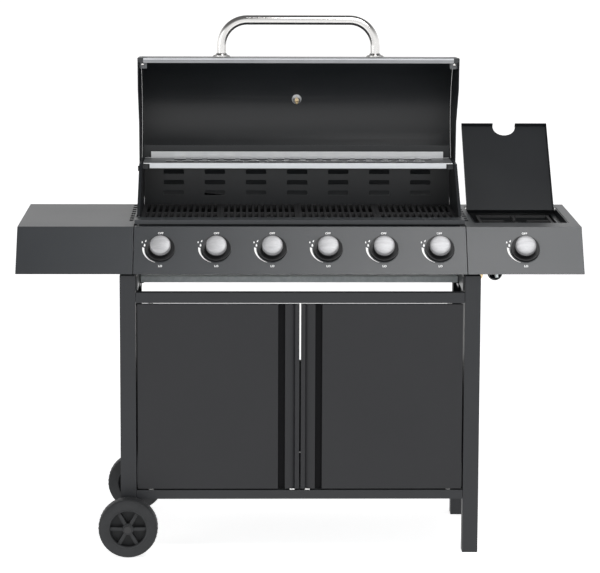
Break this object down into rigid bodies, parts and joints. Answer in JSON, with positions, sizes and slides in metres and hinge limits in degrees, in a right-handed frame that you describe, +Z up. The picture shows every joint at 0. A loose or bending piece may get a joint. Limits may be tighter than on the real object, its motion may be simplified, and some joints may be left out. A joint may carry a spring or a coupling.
{
  "type": "gas barbecue grill",
  "caption": "Gas grill on a two-door cart with wheels at one end, hinged lid with bar handle, sloping knob panel, folding side-burner lid, side tables and pull-out grease tray.",
  "frame": {"origin": "centre of the grill's outline on the ground, half way along its whole depth", "axes": "+X to the user's right, -Y towards the user, +Z up"},
  "size_m": [1.41, 0.741, 1.3235],
  "materials": {
    "charcoal": "satin powder coat",
    "enamel": "satin black enamel",
    "grate": "matt enamelled iron",
    "steel": "brushed",
    "zinc": "galvanised",
    "chrome": "polished",
    "brass": "machined",
    "plastic": "moulded"
  },
  "bodies": {
    "cart": {"leg_front_left": "charcoal", "leg_front_right": "charcoal", "leg_rear_left": "charcoal", "leg_rear_right": "charcoal", "side_panel_left": "charcoal", "side_panel_right": "charcoal", "bottom_shelf": "charcoal", "rear_panel": "charcoal", "front_rail": "charcoal", "wheel_axle": "steel", "firebox_tub": "enamel", "firebox_back": "enamel", "firebox_end_left": "enamel", "firebox_end_right": "enamel", "control_panel": "charcoal", "gas_manifold": "zinc", "gas_inlet": "brass", "burner_1": "steel", "burner_2": "steel", "burner_3": "steel", "burner_4": "steel", "burner_5": "steel", "burner_6": "steel", "heat_tents": "steel", "grate_1": "grate", "grate_2": "grate", "grate_3": "grate", "grate_4": "grate", "warming_rack": "steel", "table_left": "charcoal", "table_right": "charcoal", "side_burner_bowl": "enamel", "side_burner_head": "zinc", "side_burner_trivet": "grate"},
    "lid": {"lid_shell": "enamel", "lid_end_left": "enamel", "lid_end_right": "enamel", "lid_handle": "chrome", "lid_thermometer": "steel"},
    "side_lid": {"side_burner_lid": "charcoal"},
    "left_door": {"door_left": "charcoal"},
    "right_door": {"door_right": "charcoal"},
    "front_wheel": {"wheel_front": "plastic"},
    "rear_wheel": {"wheel_rear": "plastic"},
    "tray": {"grease_tray": "zinc"},
    "valve_stem_1": {"stem_1": "steel"},
    "knob_body_1": {"knob_1": "steel"},
    "valve_stem_2": {"stem_2": "steel"},
    "knob_body_2": {"knob_2": "steel"},
    "valve_stem_3": {"stem_3": "steel"},
    "knob_body_3": {"knob_3": "steel"},
    "valve_stem_4": {"stem_4": "steel"},
    "knob_body_4": {"knob_4": "steel"},
    "valve_stem_5": {"stem_5": "steel"},
    "knob_body_5": {"knob_5": "steel"},
    "valve_stem_6": {"stem_6": "steel"},
    "knob_body_6": {"knob_6": "steel"},
    "valve_stem_7": {"stem_7": "steel"},
    "knob_body_7": {"knob_7": "steel"}
  },
  "joints": [
    {"name": "lid_hinge", "type": "hinge", "parent": "cart", "child": "lid", "pos_m": [0, 0.14888, 0.919], "axis": [1, 0, 0], "range_deg": [0, 82.5]},
    {"name": "side_lid_hinge", "type": "hinge", "parent": "cart", "child": "side_lid", "pos_m": [0.5603, 0.14888, 0.812], "axis": [1, 0, 0], "range_deg": [0, 137.5]},
    {"name": "left_door_hinge", "type": "hinge", "parent": "cart", "child": "left_door", "pos_m": [-0.372, -0.29612, 0.1648], "axis": [0, 0, -1], "range_deg": [0, 105]},
    {"name": "right_door_hinge", "type": "hinge", "parent": "cart", "child": "right_door", "pos_m": [0.372, -0.29612, 0.1648], "axis": [0, 0, 1], "range_deg": [0, 105]},
    {"name": "front_wheel_spin", "type": "hinge", "parent": "cart", "child": "front_wheel", "pos_m": [-0.4285, -0.33762, 0.0745], "axis": [0, 1, 0], "continuous": true},
    {"name": "rear_wheel_spin", "type": "hinge", "parent": "cart", "child": "rear_wheel", "pos_m": [-0.4285, 0.16938, 0.0745], "axis": [0, 1, 0], "continuous": true},
    {"name": "tray_slide", "type": "slide", "parent": "cart", "child": "tray", "axis": [0, 1, 0], "range_m": [0, 0.35]},
    {"name": "knob_1_turn", "type": "hinge", "parent": "cart", "child": "valve_stem_1", "pos_m": [-0.3475, -0.26913, 0.76597], "axis": [0, -0.7915, 0.6111], "range_deg": [0, 180]},
    {"name": "knob_1_push", "type": "slide", "parent": "valve_stem_1", "child": "knob_body_1", "axis": [0, 0.7915, -0.6111], "range_m": [0, 0.003], "stiffness_N_per_m": 1500, "springref_m": -0.002},
    {"name": "knob_2_turn", "type": "hinge", "parent": "cart", "child": "valve_stem_2", "pos_m": [-0.2085, -0.26913, 0.76597], "axis": [0, -0.7915, 0.6111], "range_deg": [0, 180]},
    {"name": "knob_2_push", "type": "slide", "parent": "valve_stem_2", "child": "knob_body_2", "axis": [0, 0.7915, -0.6111], "range_m": [0, 0.003], "stiffness_N_per_m": 1500, "springref_m": -0.002},
    {"name": "knob_3_turn", "type": "hinge", "parent": "cart", "child": "valve_stem_3", "pos_m": [-0.0695, -0.26913, 0.76597], "axis": [0, -0.7915, 0.6111], "range_deg": [0, 180]},
    {"name": "knob_3_push", "type": "slide", "parent": "valve_stem_3", "child": "knob_body_3", "axis": [0, 0.7915, -0.6111], "range_m": [0, 0.003], "stiffness_N_per_m": 1500, "springref_m": -0.002},
    {"name": "knob_4_turn", "type": "hinge", "parent": "cart", "child": "valve_stem_4", "pos_m": [0.0695, -0.26913, 0.76597], "axis": [0, -0.7915, 0.6111], "range_deg": [0, 180]},
    {"name": "knob_4_push", "type": "slide", "parent": "valve_stem_4", "child": "knob_body_4", "axis": [0, 0.7915, -0.6111], "range_m": [0, 0.003], "stiffness_N_per_m": 1500, "springref_m": -0.002},
    {"name": "knob_5_turn", "type": "hinge", "parent": "cart", "child": "valve_stem_5", "pos_m": [0.2085, -0.26913, 0.76597], "axis": [0, -0.7915, 0.6111], "range_deg": [0, 180]},
    {"name": "knob_5_push", "type": "slide", "parent": "valve_stem_5", "child": "knob_body_5", "axis": [0, 0.7915, -0.6111], "range_m": [0, 0.003], "stiffness_N_per_m": 1500, "springref_m": -0.002},
    {"name": "knob_6_turn", "type": "hinge", "parent": "cart", "child": "valve_stem_6", "pos_m": [0.3475, -0.26913, 0.76597], "axis": [0, -0.7915, 0.6111], "range_deg": [0, 180]},
    {"name": "knob_6_push", "type": "slide", "parent": "valve_stem_6", "child": "knob_body_6", "axis": [0, 0.7915, -0.6111], "range_m": [0, 0.003], "stiffness_N_per_m": 1500, "springref_m": -0.002},
    {"name": "knob_7_turn", "type": "hinge", "parent": "cart", "child": "valve_stem_7", "pos_m": [0.5603, -0.26913, 0.76597], "axis": [0, -0.7915, 0.6111], "range_deg": [0, 180]},
    {"name": "knob_7_push", "type": "slide", "parent": "valve_stem_7", "child": "knob_body_7", "axis": [0, 0.7915, -0.6111], "range_m": [0, 0.003], "stiffness_N_per_m": 1500, "springref_m": -0.002}
  ]
}
